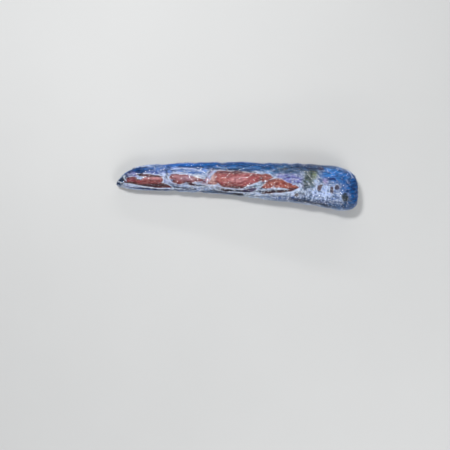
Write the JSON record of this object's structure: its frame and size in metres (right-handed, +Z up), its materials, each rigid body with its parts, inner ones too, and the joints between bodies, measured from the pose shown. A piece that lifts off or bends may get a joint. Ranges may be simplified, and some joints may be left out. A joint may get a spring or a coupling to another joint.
{
  "type": "frozen dogfish fillet in clear film",
  "caption": "Long frozen dogfish fillet drawn tight in clear film: pinched thin tail, thick blunt neck end, bare flesh under the clear patches, frost and stretched folds elsewhere.",
  "frame": {"origin": "middle of the bounding box, on the flat underside", "axes": "+X from the tail to the neck end, +Y across to the side that bulges in the bow, +Z up, away from the underside"},
  "size_m": [0.495, 0.103, 0.0624],
  "materials": {
    "clear_film": "clear, glossy and finely creased, with white frost caught behind it",
    "frozen_flesh": "red-brown frozen flesh with pale muscle lines and granular frost"
  },
  "bodies": {
    "root": {"wrapped_fillet": "clear_film"}
  },
  "joints": []
}
